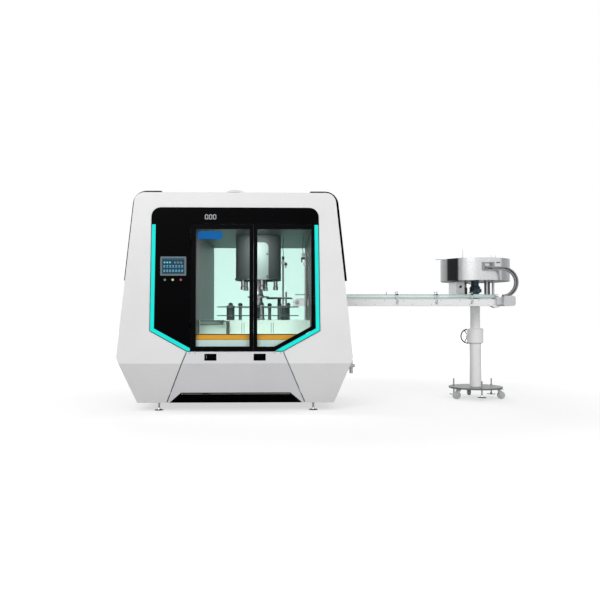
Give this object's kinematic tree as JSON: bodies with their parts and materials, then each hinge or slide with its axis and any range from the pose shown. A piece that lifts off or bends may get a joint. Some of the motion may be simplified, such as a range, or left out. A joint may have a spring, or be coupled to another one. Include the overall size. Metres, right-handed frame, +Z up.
{
  "type": "rotary capping machine",
  "caption": "Enclosed rotary capping machine with glazed doors, a turret of capping heads and star wheels, and a cap conveyor fed by a bowl feeder on a wheeled stand",
  "frame": {"origin": "on the floor, in the middle of the whole footprint", "axes": "+X along the conveyor from the cabinet to the bowl feeder, +Y to the back, +Z up"},
  "size_m": [4.3378, 1.959, 2.336],
  "materials": {
    "frame": "satin",
    "feet": "polished",
    "body": "satin",
    "flap": "satin",
    "window": "tinted",
    "black": "gloss",
    "lights": "glowing",
    "slate": "matt",
    "liner": "satin",
    "table": "satin",
    "orange": "gloss",
    "silver": "satin",
    "drum": "satin",
    "steel": "brushed",
    "guide_plastic": "satin",
    "column": "satin",
    "green": "lit",
    "yellow": "lit",
    "red": "lit",
    "glass": "tinted",
    "star": "satin",
    "chrome": "polished",
    "belt": "matt",
    "motor_grey": "satin",
    "bowl": "polished",
    "slate_motor": "satin",
    "dark_plastic": "matt",
    "wheel": "matt"
  },
  "bodies": {
    "cabinet": {"base_frame": "frame", "levelling_feet": "feet", "front_surround": "body", "left_side_panel": "body", "right_side_panel": "body", "roof_panel": "body", "rear_surround": "body", "rear_window": "window", "side_trims": "black", "black_fascia": "black", "light_strips": "lights", "hmi_panel": "slate", "cabin_liner": "liner", "work_table": "table", "orange_bar": "orange", "air_regulator": "silver", "vent_grille": "dark_plastic", "cam_drum": "drum", "drum_cover": "steel", "bottle_guides": "guide_plastic", "guide_posts": "steel", "stand_base": "column"},
    "green_button": {"green_button": "green"},
    "yellow_button": {"yellow_button": "yellow"},
    "red_button": {"red_button": "red"},
    "left_door": {"left_door": "black", "left_door_glass": "glass"},
    "right_door": {"right_door": "black", "right_door_glass": "glass"},
    "front_flap": {"lower_front_flap": "flap", "flush_pulls": "dark_plastic"},
    "turret": {"turret_column": "steel", "main_star": "star"},
    "head_1": {"capping_head_1": "chrome"},
    "head_2": {"capping_head_2": "chrome"},
    "head_3": {"capping_head_3": "chrome"},
    "head_4": {"capping_head_4": "chrome"},
    "head_5": {"capping_head_5": "chrome"},
    "infeed_star": {"infeed_star": "star"},
    "outfeed_star": {"outfeed_star": "star"},
    "cap_star": {"cap_star": "dark_plastic"},
    "feeder": {"conveyor_frame": "steel", "conveyor_belt": "belt", "guide_rails": "steel", "conveyor_gearmotor": "motor_grey", "feeder_bowl": "bowl", "bowl_motor": "slate_motor", "bowl_supports": "steel", "cap_chute": "steel", "upper_tube": "column"},
    "drive_roller": {"drive_roller": "steel"},
    "idler_roller": {"idler_roller": "steel"},
    "sorting_disc": {"sorting_disc": "steel"},
    "handwheel": {"handwheel": "dark_plastic"},
    "caster_fork_1": {"caster_fork_1": "silver"},
    "caster_wheel_1": {"caster_wheel_1": "wheel"},
    "caster_fork_2": {"caster_fork_2": "silver"},
    "caster_wheel_2": {"caster_wheel_2": "wheel"},
    "caster_fork_3": {"caster_fork_3": "silver"},
    "caster_wheel_3": {"caster_wheel_3": "wheel"}
  },
  "joints": [
    {"name": "left_door_hinge", "type": "hinge", "parent": "cabinet", "child": "left_door", "pos_m": [-1.43661, -0.9745, 1.25], "axis": [0, 0, -1], "range_deg": [0, 105]},
    {"name": "right_door_hinge", "type": "hinge", "parent": "cabinet", "child": "right_door", "pos_m": [-0.20161, -0.9745, 1.25], "axis": [0, 0, 1], "range_deg": [0, 105]},
    {"name": "flap_hinge", "type": "hinge", "parent": "cabinet", "child": "front_flap", "pos_m": [-0.99011, -0.7805, 0.086], "axis": [1, 0, 0], "range_deg": [0, 60]},
    {"name": "green_button_press", "type": "slide", "parent": "cabinet", "child": "green_button", "axis": [0, 1, 0], "range_m": [0, 0.004], "stiffness_N_per_m": 500, "springref_m": -0.002},
    {"name": "yellow_button_press", "type": "slide", "parent": "cabinet", "child": "yellow_button", "axis": [0, 1, 0], "range_m": [0, 0.004], "stiffness_N_per_m": 500, "springref_m": -0.002},
    {"name": "red_button_press", "type": "slide", "parent": "cabinet", "child": "red_button", "axis": [0, 1, 0], "range_m": [0, 0.004], "stiffness_N_per_m": 500, "springref_m": -0.002},
    {"name": "turret_spin", "type": "hinge", "parent": "cabinet", "child": "turret", "pos_m": [-0.78211, -0.2365, 1.2], "axis": [0, 0, 1], "continuous": true},
    {"name": "head_1_spin", "type": "hinge", "parent": "turret", "child": "head_1", "pos_m": [-0.94498, -0.33436, 1.386], "axis": [0, 0, 1], "continuous": true},
    {"name": "head_2_spin", "type": "hinge", "parent": "turret", "child": "head_2", "pos_m": [-0.73937, -0.42163, 1.386], "axis": [0, 0, 1], "continuous": true},
    {"name": "head_3_spin", "type": "hinge", "parent": "turret", "child": "head_3", "pos_m": [-0.59284, -0.25306, 1.386], "axis": [0, 0, 1], "continuous": true},
    {"name": "head_4_spin", "type": "hinge", "parent": "turret", "child": "head_4", "pos_m": [-0.70788, -0.0616, 1.386], "axis": [0, 0, 1], "continuous": true},
    {"name": "head_5_spin", "type": "hinge", "parent": "turret", "child": "head_5", "pos_m": [-0.92551, -0.11185, 1.386], "axis": [0, 0, 1], "continuous": true},
    {"name": "infeed_star_spin", "type": "hinge", "parent": "cabinet", "child": "infeed_star", "pos_m": [-1.07526, -0.41264, 1], "axis": [0, 0, 1], "continuous": true},
    {"name": "outfeed_star_spin", "type": "hinge", "parent": "cabinet", "child": "outfeed_star", "pos_m": [-0.48896, -0.41264, 1], "axis": [0, 0, 1], "continuous": true},
    {"name": "cap_star_spin", "type": "hinge", "parent": "cabinet", "child": "cap_star", "pos_m": [-0.55327, 0.01766, 1], "axis": [0, 0, 1], "continuous": true},
    {"name": "handwheel_turn", "type": "hinge", "parent": "cabinet", "child": "handwheel", "pos_m": [1.71589, 0.41666, 0.724], "axis": [0, 1, 0], "range_deg": [0, 1440]},
    {"name": "feeder_lift", "type": "slide", "parent": "cabinet", "child": "feeder", "axis": [0, 0, 1], "range_m": [0, 0.04]},
    {"name": "drive_roller_spin", "type": "hinge", "parent": "feeder", "child": "drive_roller", "pos_m": [2.01989, -0.13434, 1.1215], "axis": [0, 1, 0], "continuous": true},
    {"name": "idler_roller_spin", "type": "hinge", "parent": "feeder", "child": "idler_roller", "pos_m": [-0.35761, -0.13434, 1.1215], "axis": [0, 1, 0], "continuous": true},
    {"name": "sorting_disc_spin", "type": "hinge", "parent": "feeder", "child": "sorting_disc", "pos_m": [1.76889, 0.28666, 1.4], "axis": [0, 0, 1], "continuous": true},
    {"name": "caster_1_swivel", "type": "hinge", "parent": "cabinet", "child": "caster_fork_1", "pos_m": [1.53679, 0.15266, 0.114], "axis": [0, 0, 1], "continuous": true},
    {"name": "caster_1_roll", "type": "hinge", "parent": "caster_fork_1", "child": "caster_wheel_1", "pos_m": [1.50922, 0.14779, 0.045], "axis": [0.1736, -0.9848, 0], "continuous": true},
    {"name": "caster_2_swivel", "type": "hinge", "parent": "cabinet", "child": "caster_fork_2", "pos_m": [2.00098, 0.15266, 0.114], "axis": [0, 0, 1], "continuous": true},
    {"name": "caster_2_roll", "type": "hinge", "parent": "caster_fork_2", "child": "caster_wheel_2", "pos_m": [2.02855, 0.14779, 0.045], "axis": [0.1736, 0.9848, 0], "continuous": true},
    {"name": "caster_3_swivel", "type": "hinge", "parent": "cabinet", "child": "caster_fork_3", "pos_m": [1.76889, 0.55466, 0.114], "axis": [0, 0, 1], "continuous": true},
    {"name": "caster_3_roll", "type": "hinge", "parent": "caster_fork_3", "child": "caster_wheel_3", "pos_m": [1.76889, 0.58266, 0.045], "axis": [-1, 0, 0], "continuous": true}
  ],
  "couplings": [
    {"joint": "head_1_spin", "follows": "turret_spin", "ratio": 4},
    {"joint": "head_2_spin", "follows": "turret_spin", "ratio": 4},
    {"joint": "head_3_spin", "follows": "turret_spin", "ratio": 4},
    {"joint": "head_4_spin", "follows": "turret_spin", "ratio": 4},
    {"joint": "head_5_spin", "follows": "turret_spin", "ratio": 4},
    {"joint": "infeed_star_spin", "follows": "turret_spin", "ratio": -1.25},
    {"joint": "outfeed_star_spin", "follows": "turret_spin", "ratio": -1.25},
    {"joint": "cap_star_spin", "follows": "turret_spin", "ratio": -1.25},
    {"joint": "idler_roller_spin", "follows": "drive_roller_spin", "ratio": 1},
    {"joint": "handwheel_turn", "follows": "feeder_lift", "rad_per_m": 628.32}
  ]
}
